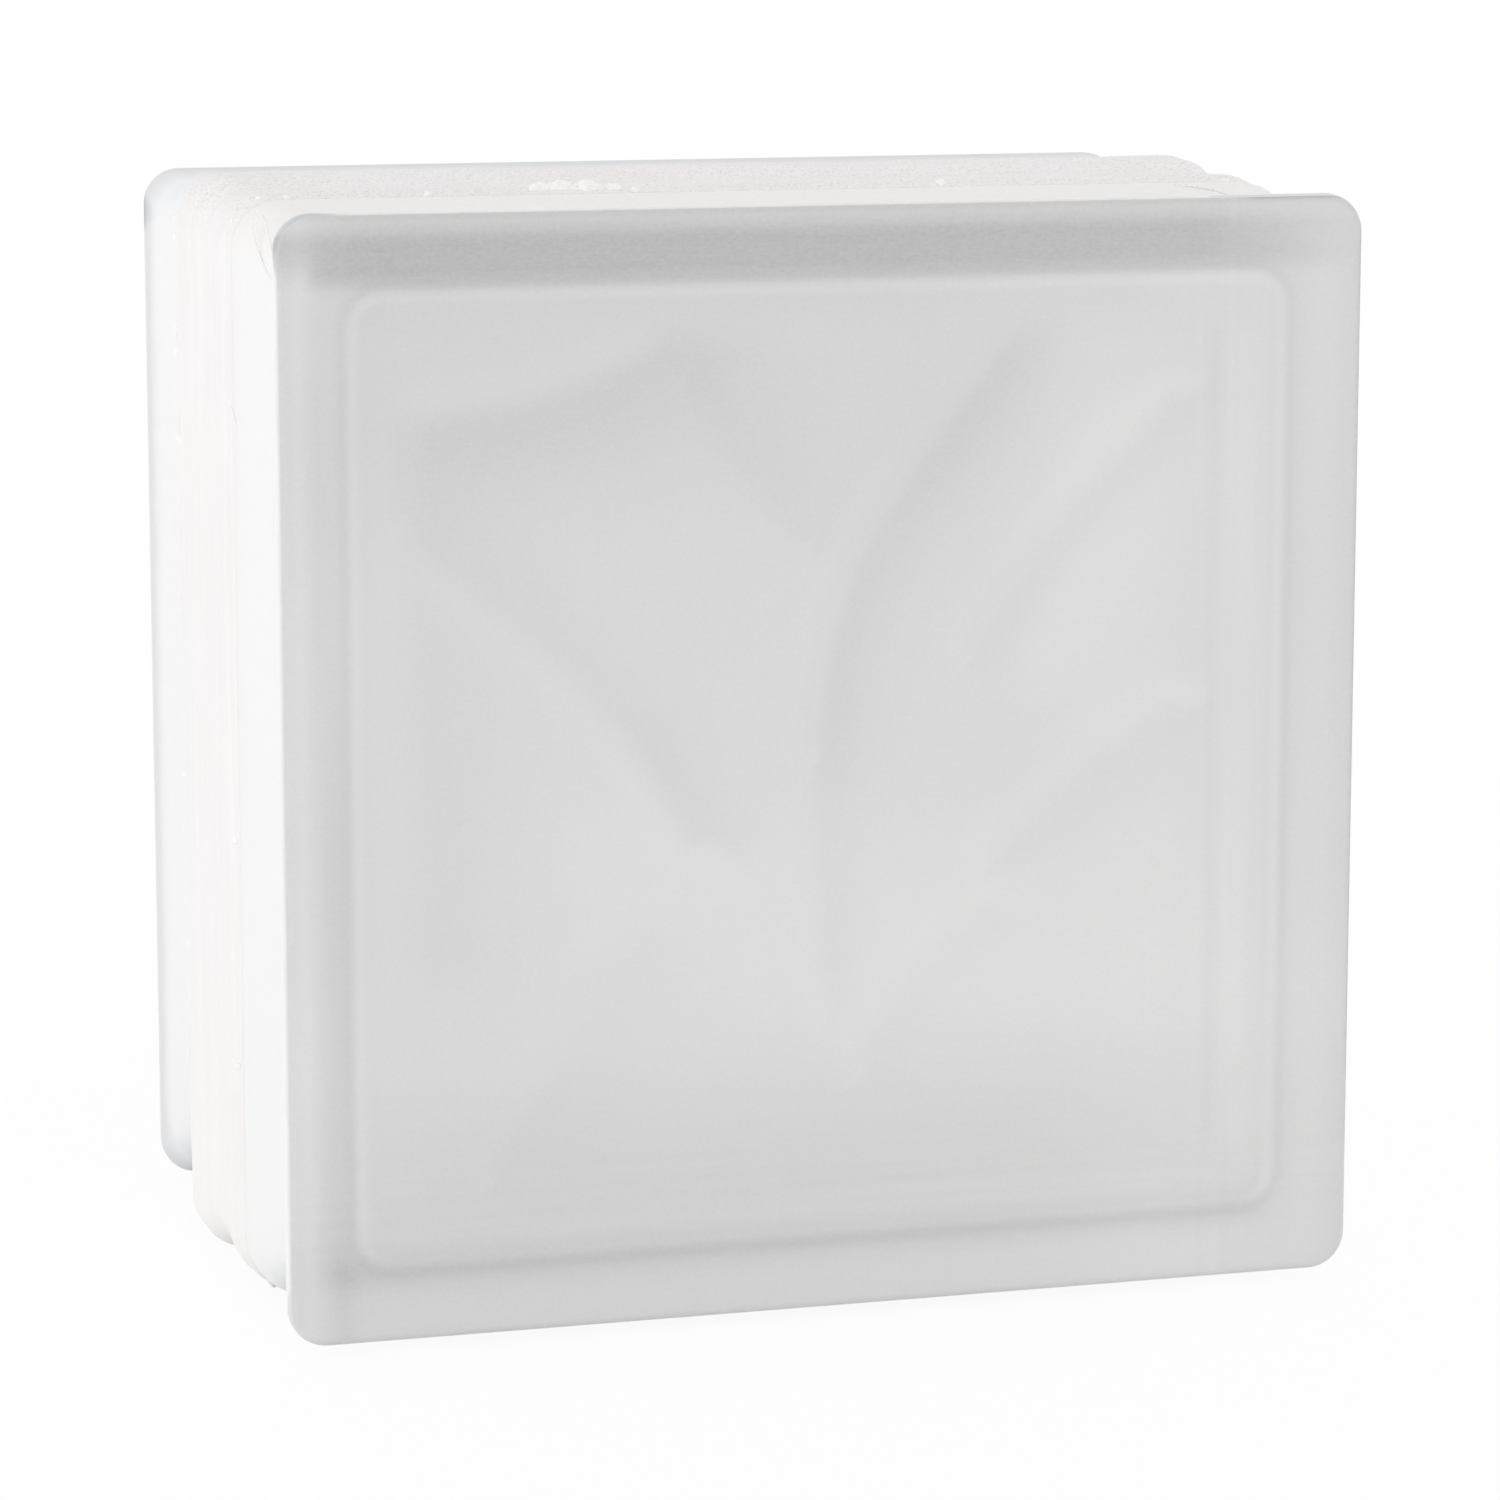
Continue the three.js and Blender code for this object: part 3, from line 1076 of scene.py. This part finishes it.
@dataclass(frozen=True)
class TraySection:
    """Section of a pressed tray, in metres: depths from the face, insets below the lip.

    The satin of the face covers a share of the round at its edge.
    """

    face_corner: float = 5 * MM
    edge_round: float = 1.2 * MM
    lip: float = 3 * MM
    lip_round: float = 0.9 * MM
    lip_slope: float = 5 * MM
    groove_depth: float = 4.8 * MM
    groove_floor: float = 5 * MM
    groove_round: float = 2 * MM
    shoulder_run: float = 14 * MM
    shoulder_land: float = 4 * MM
    shoulder_inset: float = 0.2 * MM
    shoulder_round: float = 1 * MM
    band_drop: float = 0.8 * MM
    band_step: float = 3 * MM
    side_corner: float = 6.5 * MM
    plate: float = 8 * MM
    panel_margin: float = 10 * MM
    cavity_corner: float = 6 * MM
    cavity_fillet: float = 3.5 * MM
    rim: float = 6 * MM
    satin_share: float = 0.6
    curve_steps: int = 10

    @property
    def groove_end(self) -> float:
        """Depth at which the mortar groove ends."""
        return self.lip + self.lip_slope + self.groove_floor

    @property
    def band_inset(self) -> float:
        """Inset of the fused band."""
        return self.shoulder_inset + self.band_drop

    def outside(self, seam: float) -> list[tuple[float, float]]:
        """Draws the section from the face to the seam.

        Args:
            seam: depth of the rim from the face.

        Returns:
            Points as (depth, inset).
        """
        groove = self.lip + self.lip_slope
        rise = []
        for step in range(1, self.curve_steps):
            share = step / self.curve_steps
            inset = ease(self.groove_depth, self.shoulder_inset, share)
            rise.append((self.groove_end + self.shoulder_run * share, inset, 0))
        crest = self.groove_end + self.shoulder_run
        crest_end = crest + self.shoulder_land
        corners = [
            (0, 2 * self.edge_round, 0),
            (0, 0, self.edge_round),
            (self.lip, 0, self.lip_round),
            (groove, self.groove_depth, self.groove_round),
            (self.groove_end, self.groove_depth, 0),
            *rise,
            (crest, self.shoulder_inset, 0),
            (crest_end, self.shoulder_inset, self.shoulder_round),
            (crest_end + self.band_step, self.band_inset, self.shoulder_round),
            (seam, self.band_inset, 0),
        ]
        return softened(corners, self.curve_steps // 2)

    def corner_at(self, depth: float, inset: float) -> float:
        """Finds the radius of the block's upright edges.

        Args:
            depth: depth from the face.
            inset: inset of the outside there.

        Returns:
            The radius.
        """
        if depth <= self.lip:
            return self.face_corner - inset
        share = min(1.0, max(0.0, (depth - self.groove_end) / self.shoulder_run))
        return ease(self.face_corner, self.side_corner, share)

    def inset_at(self, depth: float, seam: float) -> float:
        """Finds the inset of the outside.

        Args:
            depth: depth from the face.
            seam: depth of the rim from the face.

        Returns:
            The inset.
        """
        line = self.outside(seam)
        depths, insets = zip(*line[1:])
        return float(np.interp(depth, depths, insets))

    def inside(self, half: float, seam: float) -> list[tuple[float, float]]:
        """Draws the section from the rim to the plate.

        Args:
            half: half the width of the face.
            seam: depth of the rim from the face.

        Returns:
            Points as (depth, half the cavity's width).
        """
        foot = half - self.panel_margin
        line = [(seam, half - self.band_inset - self.rim)]
        for step in range(self.curve_steps + 1):
            turn = math.pi / 2 * step / self.curve_steps
            depth = self.plate + self.cavity_fillet * (1 - math.sin(turn))
            line.append((depth, foot - self.cavity_fillet * (1 - math.cos(turn))))
        return line


@dataclass(frozen=True)
class Tray:
    """One pressed glass tray, which stands for a shell of the frame."""

    node: str
    name: str
    paint: Colour
    top_paint: Colour
    bare_lip: float
    section: TraySection = TraySection()
    outline: Outline = Outline()
    relief: WaveRelief = WaveRelief()

    def build(self, finishes: Finishes) -> bpy.types.Object:
        """Builds and dresses the tray.

        Args:
            finishes: a material for each Zone but the painted side.

        Returns:
            The piece.
        """
        low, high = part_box(self.node)
        half, middle = (high.x - low.x) / 2, (high.z + low.z) / 2
        depth = max(abs(low.y), abs(high.y))
        seam = depth - min(abs(low.y), abs(high.y))
        mesh = self.surface(half, middle, depth, seam).mesh(self.name)
        panel = self.section.inside(half, seam)[-1][1]
        side = PaintedSide(half, middle, depth, self.paint, self.top_paint, self.bare_lip).material()
        made = self.relief.run(mesh, middle, panel, finishes | {Zone.SIDE: side})
        if high.y > depth / 2:
            self.turn(made)
        piece = plain_object(self.name, made)
        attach(piece, "root")
        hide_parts(self.node)
        return piece

    def surface(self, half: float, middle: float, depth: float, seam: float) -> RingMesh:
        """Lofts the tray with its face at the front.

        Args:
            half: half the width of the face.
            middle: height of the block's middle.
            depth: depth of the face from the block's middle.
            seam: depth of the rim from the face.

        Returns:
            The surface.
        """
        section, surface = self.section, RingMesh(self.outline, middle)
        outer = section.outside(seam)
        rings = [
            surface.ring(half - inset, section.corner_at(at, inset), at - depth) for at, inset in outer
        ]
        first = (half - outer[0][1], section.corner_at(*outer[0]), -depth)
        surface.plate(rings[0], *first, Zone.FACE, 0.0, False)
        for number in range(1, len(rings)):
            satin = outer[number][0] < section.edge_round * section.satin_share
            surface.skin(rings[number - 1], rings[number], Zone.FACE if satin else Zone.SIDE)
        inner = section.inside(half, seam)
        last = rings[-1]
        for at, width in inner:
            ring = surface.ring(width, section.cavity_corner, at - depth)
            wall = at >= section.plate + section.cavity_fillet
            surface.skin(last, ring, Zone.WALL if wall else Zone.PLATE)
            last = ring
        end = (inner[-1][1], section.cavity_corner, inner[-1][0] - depth)
        surface.plate(last, *end, Zone.PLATE, 1.0, True)
        return surface

    @staticmethod
    def turn(mesh: bpy.types.Mesh) -> None:
        """Turns a tray half round, about the upright axis.

        Args:
            mesh: the tray, changed in place.
        """
        flipped = np.empty(len(mesh.vertices) * 3)
        mesh.vertices.foreach_get("co", flipped)
        mesh.vertices.foreach_set("co", (flipped.reshape(-1, 3) * (-1, -1, 1)).ravel())
        mesh.update()


# ---- Sealer --------------------------------------------------------------------------------------


@dataclass(frozen=True)
class Run:
    """A run of sealer on a shoulder: a curve through four points, in millimetres from the middle."""

    path: tuple[Point, Point, Point, Point]
    thick: float


RUNS = (
    Run(((-71.7, -27.0, 71.0), (-71.4, -27.2, 67.5), (-70.8, -28.6, 64.5), (-69.0, -32.0, 62.0)), 0.55),
    Run(((-70.6, -28.4, 71.5), (-69.9, -30.2, 70.0), (-70.2, -29.6, 67.0), (-69.2, -31.8, 65.0)), 0.9),
    Run(((-73.1, -15.8, 46.5), (-72.9, -20.0, 44.5), (-72.6, -23.5, 42.0), (-72.5, -24.2, 34.0)), 0.45),
    Run(((-69.2, -31.8, 42.0), (-69.6, -30.8, 39.0), (-70.0, -30.0, 35.0), (-70.1, -29.8, 30.0)), 0.4),
    Run(((56.0, -23.0, 72.8), (60.0, -25.0, 72.7), (63.0, -27.0, 72.0), (63.5, -29.0, 70.5)), 0.9),
)


@dataclass(frozen=True)
class Crumbs:
    """A scatter of crumbs, in millimetres: middle and spread of the patch, and how they are piled."""

    middle: Point
    spread: Point
    per_mm2: float
    pile: float
    smallest: float
    largest: float
    seed: int


CRUMBS = (
    Crumbs((-23.8, -14.6, 73.5), (1.3, 0.6, 3.0), 2.4, 0.4, 0.9, 1.5, 4),
    Crumbs((-28.5, -14.6, 73.5), (1.1, 0.7, 3.0), 4.0, 0.2, 0.8, 1.2, 5),
    Crumbs((-20.9, -15.2, 73.5), (0.9, 0.5, 3.0), 2.4, 0.0, 0.5, 0.9, 6),
    Crumbs((0.0, -16.8, 0.0), (400.0, 0.9, 400.0), 0.03, 0.0, 0.3, 0.7, 7),
    Crumbs((0.0, 21.0, 0.0), (400.0, 1.2, 400.0), 0.03, 0.0, 0.3, 0.7, 8),
)


@dataclass(frozen=True)
class SealerCoat:
    """The coat round the fused joint: a high ridge at the rear, a low one in front, a waist between.

    Its rows give the places of the section along Y and their insets below the lips, in millimetres;
    the first and the last lie under the glass, so that the borders of the coat come out ragged.
    Runs and crumbs of sealer lie on it, in the same mesh.
    """

    node: str = "edge_coating"
    name: str = "sealer_coat"
    rows: tuple[tuple[float, float], ...] = (
        (-18.2, 0.4), (-16.4, -0.35), (-14.9, 0.45), (-12.8, -0.45), (-10.0, -0.3), (-4.0, 0.25),
        (2.0, 0.1), (8.5, -1.3), (13.5, -1.4), (18.5, -0.35), (23.5, 0.5),
    )
    step: float = 0.7 * MM
    lift: float = 0.05 * MM
    streak: Point = (80 * MM, 1.6 * MM, 80 * MM)
    streak_rise: float = 0.44 * MM
    lump: Point = (16 * MM, 7 * MM, 16 * MM)
    lump_rise: float = 1.0 * MM
    dent: Point = (1.1 * MM, 1.1 * MM, 1.1 * MM)
    crumb_dent: float = 1.6 * MM
    crumb_fineness: int = 3
    run_samples: int = 24
    run_facets: int = 12
    run_taper: float = 0.4
    run_end: float = 0.01
    clearance: float = 0.02 * MM
    outline: Outline = Outline(72, 12)
    section: TraySection = TraySection()

    def build(self, sealer: bpy.types.Material) -> bpy.types.Object:
        """Builds and dresses the coat.

        Args:
            sealer: its finish.

        Returns:
            The piece.
        """
        low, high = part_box(self.node)
        front_low, front_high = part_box("front_half_shell")
        half, middle = (front_high.x - front_low.x) / 2, (high.z + low.z) / 2
        seam = front_high.y - front_low.y
        surface = RingMesh(self.outline, middle)
        heights = [(y * MM, inset * MM) for y, inset in self.rows]
        count = round((heights[-1][0] - heights[0][0]) / self.step)
        places = np.linspace(heights[0][0], heights[-1][0], count + 1)
        rings = [self.ring(surface, half, y, self.inset(heights, y), 1.0) for y in places]
        for y in places[::-1]:
            under = self.section.inset_at(-front_low.y - abs(y), seam) - self.lift
            rings.append(self.ring(surface, half, y, under, 0.0))
        for number in range(len(rings)):
            surface.skin(rings[number - 1], rings[number])
        reach = (high.x - low.x) / 2 - self.clearance
        piece = plain_object(self.name, self.uneven(surface.mesh(self.name), middle, reach, sealer))
        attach(piece, "root")
        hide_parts(self.node)
        return piece

    def ring(self, surface: RingMesh, half: float, y: float, inset: float, loose: float) -> np.ndarray:
        """Adds one ring of the coat."""
        return surface.ring(half - inset, self.section.side_corner - max(inset, 0.0), y, loose)

    @staticmethod
    def inset(heights: Sequence[tuple[float, float]], y: float) -> float:
        """Finds the inset of the coat's outside, eased from row to row.

        Args:
            heights: the coat's rows as (y, inset), in metres.
            y: place along Y.

        Returns:
            The inset.
        """
        for (start, first), (end, second) in zip(heights, heights[1:]):
            if y <= end:
                return ease(first, second, (y - start) / (end - start))
        return heights[-1][1]

    def uneven(
        self, mesh: bpy.types.Mesh, middle: float, reach: float, sealer: bpy.types.Material
    ) -> bpy.types.Mesh:
        """Draws streaks and lumps into the coat, and lays the runs and crumbs on it.

        Args:
            mesh: the even coat.
            middle: height of the block's middle.
            reach: half the width that the coat stays within.
            sealer: its finish.

        Returns:
            The finished mesh.
        """
        values = {
            "Streak Rise": self.streak_rise, "Lump Rise": self.lump_rise, "Crumb Dent": self.crumb_dent,
            "Middle": middle, "Reach": reach, "Sealer": sealer,
        }
        tree = GeometryTree("drawn_sealer", values)
        book, given = tree.book, tree.given
        streak = book.noise(tree.place, self.streak) - 0.5
        lump = book.noise(tree.place, self.lump, 3.0) - 0.5
        rise = (streak * given["Streak Rise"] + lump * given["Lump Rise"]) * tree.attribute("loose")
        normal = book.node("GeometryNodeInputNormal")[0]
        coat = tree.shifted(given["Geometry"], book.scaled(normal, rise))
        beads = [self.bead(tree, run, middle) for run in RUNS]
        grains = [self.crumbs(tree, coat, crumbs) for crumbs in CRUMBS]
        whole = book.node("GeometryNodeJoinGeometry", {}, {"Geometry": [coat, *beads, *grains]})[0]
        whole = book.node("GeometryNodeRealizeInstances", {}, {"Geometry": whole})[0]
        dent = (book.noise(tree.place, self.dent) - 0.5) * tree.attribute("crumb")
        whole = tree.shifted(whole, book.scaled(normal, dent * given["Crumb Dent"]))
        inputs = {"Geometry": whole, "Position": self.within(tree)}
        tree.close(book.node("GeometryNodeSetPosition", {}, inputs)[0], {"Sealer": True})
        return tree.run(mesh)

    @staticmethod
    def within(tree: GeometryTree) -> Socket:
        """Presses each point back to the reach on all four sides.

        Args:
            tree: the tree that it is for.

        Returns:
            The places.
        """
        reach, middle = tree.given["Reach"], tree.given["Middle"]
        least = reach * -1.0
        x, y, z = tree.book.parts(tree.place)
        across = x.larger(least).smaller(reach)
        upwards = (z - middle).larger(least).smaller(reach)
        return tree.book.joined(x=across, y=y, z=upwards + middle)

    def bead(self, tree: GeometryTree, run: Run, middle: float) -> Socket:
        """Makes one run of sealer, thinner towards both ends.

        Args:
            tree: the tree that it is for.
            run: its path and thickness.
            middle: height of the block's middle.

        Returns:
            The run as geometry.
        """
        book = tree.book
        curve = tree.curve([(x * MM, y * MM, middle + z * MM) for x, y, z in run.path], self.run_samples)
        along = book.node("GeometryNodeSplineParameter")[0]
        full = (along * (1 - along) * 4.0).larger(self.run_end)
        width = full.math("POWER", self.run_taper) * (run.thick * MM)
        circle = {"Resolution": self.run_facets, "Radius": 1.0}
        profile = book.node("GeometryNodeCurvePrimitiveCircle", {}, circle)[0]
        inputs = {"Curve": curve, "Profile Curve": profile, "Scale": width, "Fill Caps": True}
        return book.node("GeometryNodeCurveToMesh", {}, inputs)[0]

    def crumbs(self, tree: GeometryTree, coat: Socket, crumbs: Crumbs) -> Socket:
        """Scatters crumbs over a patch of the coat.

        Args:
            tree: the tree that they are for.
            coat: the coat as geometry.
            crumbs: the patch and how it is piled.

        Returns:
            The crumbs as instances.
        """
        book = tree.book
        x, y, z = book.parts(tree.place)
        places = (x, y, z - tree.given["Middle"])
        density: Socket | float = crumbs.per_mm2 / MM**2
        for place, middle, spread in zip(places, crumbs.middle, crumbs.spread):
            density = (place - middle * MM).bell(spread * MM) * density
        chosen = {"Mesh": coat, "Selection": tree.attribute("loose").math("GREATER_THAN", 0.5)}
        inputs = chosen | {4: density, 6: crumbs.seed}
        points, normal, _ = book.node("GeometryNodeDistributePointsOnFaces", {}, inputs)
        height = book.node("FunctionNodeRandomValue", {}, {2: 0.0, 3: crumbs.pile * MM, 8: crumbs.seed})[1]
        piled = tree.shifted(points, book.scaled(normal, height))
        round_ball = {"Radius": 1.0, "Subdivisions": self.crumb_fineness}
        ball = tree.keep(book.node("GeometryNodeMeshIcoSphere", {}, round_ball)[0], "crumb", 1.0)
        sizes = {2: crumbs.smallest * MM, 3: crumbs.largest * MM, 8: crumbs.seed + 1}
        scale = book.node("FunctionNodeRandomValue", {}, sizes)[1]
        inputs = {"Points": piled, "Instance": ball, "Scale": scale}
        return book.node("GeometryNodeInstanceOnPoints", {}, inputs)[0]


# ---- Studio --------------------------------------------------------------------------------------


@dataclass(frozen=True)
class Lamp:
    """A square soft lamp that looks at the block."""

    name: str
    place: tuple[float, float, float]
    size: float
    power: float

    def hang(self, target: Vector) -> None:
        """Adds the lamp.

        Args:
            target: the place that it looks at.
        """
        light = bpy.data.lights.new(self.name, "AREA")
        light.energy = self.power
        light.size = self.size
        lamp = bpy.data.objects.new(self.name, light)
        bpy.context.collection.objects.link(lamp)
        lamp.location = self.place
        lamp.rotation_mode = "QUATERNION"
        lamp.rotation_quaternion = (target - lamp.location).to_track_quat("-Z", "Y")


@dataclass(frozen=True)
class Studio:
    """A white floor that fades into a white surround, dimmer overhead, and two soft lamps."""

    floor_size: float = 12.0
    floor_colour: Colour = (0.96, 0.96, 0.96)
    near_white: float = 0.93
    clear_from: float = 0.12
    clear_to: float = 0.55
    ambient: float = 0.9
    overhead: float = 0.83
    lamps: tuple[Lamp, ...] = (
        Lamp("left_lamp", (-1.3, -0.3, 0.15), 0.9, 3.6),
        Lamp("right_lamp", (0.3, -0.5, 0.04), 0.4, 0.5),
    )

    def build(self, target: Vector) -> None:
        """Lays the floor, fills the world and hangs the lamps.

        Args:
            target: the place that the lamps look at.
        """
        self.lay_floor()
        self.fill_world()
        for lamp in self.lamps:
            lamp.hang(target)

    @staticmethod
    def seen(book: NodeBook) -> Socket:
        """Picks out the rays that show the surround itself: straight, in gloss or through glass.

        Args:
            book: the tree that it is for.

        Returns:
            1 for those rays and 0 for the rest.
        """
        rays = book.node("ShaderNodeLightPath")
        by_name = {ray.output.name: ray for ray in rays}
        shown = by_name["Is Camera Ray"].larger(by_name["Is Glossy Ray"])
        return shown.larger(by_name["Is Transmission Ray"])

    def lay_floor(self) -> None:
        """Makes the floor: white where it is looked at, and shaded near the block."""
        edge = self.floor_size / 2
        mesh = bpy.data.meshes.new("floor")
        corners = [(-edge, -edge, 0), (edge, -edge, 0), (edge, edge, 0), (-edge, edge, 0)]
        mesh.from_pydata(corners, [], [(0, 1, 2, 3)])
        finish = Finish("floor_white")
        book = finish.book
        away = (book.length(finish.place) - self.clear_from) / (self.clear_to - self.clear_from)
        share = (away.clipped() * (1 - self.near_white) + self.near_white) * self.seen(book)
        diffuse = book.node("ShaderNodeBsdfDiffuse", {}, {"Color": (*self.floor_colour, 1.0)})[0]
        white = book.node("ShaderNodeEmission", {}, {"Strength": 1.0})[0]
        mesh.materials.append(finish.close(finish.mixed(share, diffuse, white)))
        plain_object("floor", mesh)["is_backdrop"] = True

    def fill_world(self) -> None:
        """Makes the world: white where it is looked at, and a softer light on the block."""
        world = bpy.data.worlds.new("surround")
        world.use_nodes = True
        bpy.context.scene.world = world
        book = NodeBook(world.node_tree)
        height = book.parts(book.node("ShaderNodeTexCoord")[0])[2].clipped()
        soft = self.ambient - height * (self.ambient - self.overhead)
        seen = self.seen(book)
        strength = soft * (1 - seen) + seen
        light = book.node("ShaderNodeBackground", {}, {"Color": (1, 1, 1, 1), "Strength": strength})[0]
        book.node("ShaderNodeOutputWorld", {}, {0: light})


@dataclass(frozen=True)
class ViewCamera:
    """The camera, placed from the middle of the block."""

    place: tuple[float, float, float] = (-0.19942, -0.69843, 0.11978)
    azimuth: float = 16.14
    down: float = 9.188
    sensor: float = 36.0
    lens: float = 126.98
    shift_up: float = -0.04

    def build(self, target: Vector) -> None:
        """Makes it the scene's camera.

        Args:
            target: the middle of the block, from which its place is counted.
        """
        data = bpy.data.cameras.new("view_camera")
        data.sensor_width = self.sensor
        data.lens = self.lens
        data.shift_y = self.shift_up
        camera = bpy.data.objects.new("view_camera", data)
        bpy.context.collection.objects.link(camera)
        turn, dip = math.radians(self.azimuth), math.radians(self.down)
        ahead = Vector((math.sin(turn) * math.cos(dip), math.cos(turn) * math.cos(dip), -math.sin(dip)))
        camera.location = target + Vector(self.place)
        camera.rotation_mode = "QUATERNION"
        camera.rotation_quaternion = ahead.to_track_quat("-Z", "Y")
        bpy.context.scene.camera = camera


# ---- The block -----------------------------------------------------------------------------------


def main() -> None:
    """Builds the pieces in order."""
    logging.basicConfig(level=logging.INFO, format="%(name)s: %(message)s")
    cad_low, cad_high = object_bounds()
    middle = (cad_low + cad_high) / 2
    bpy.context.scene.view_settings.view_transform = "Standard"
    ViewCamera().build(middle)
    Studio().build(middle)
    front = {
        Zone.FACE: SatinGlass("front_satin", film=0.45, middle=middle.z).material(),
        Zone.WALL: BackedWall().material(),
        Zone.PLATE: BareGlass().material(),
    }
    rear = front | {Zone.FACE: SatinGlass("rear_satin", film=0.7, middle=middle.z).material()}
    cream, white, cool = (1.0, 0.98, 0.97), (0.99, 0.99, 0.988), (0.99, 0.988, 0.995)
    pieces = [
        Tray("front_half_shell", "front_half_glass", white, cream, bare_lip=0.2 * MM).build(front),
        Tray("rear_half_shell", "rear_half_glass", cool, cool, bare_lip=3.3 * MM).build(rear),
        SealerCoat().build(Sealer(sandy_from=cad_high.z - 8 * MM).material()),
    ]
    for piece in pieces:
        log.info("%s: %d faces", piece.name, len(piece.data.polygons))


if __name__ == "__main__":
    main()
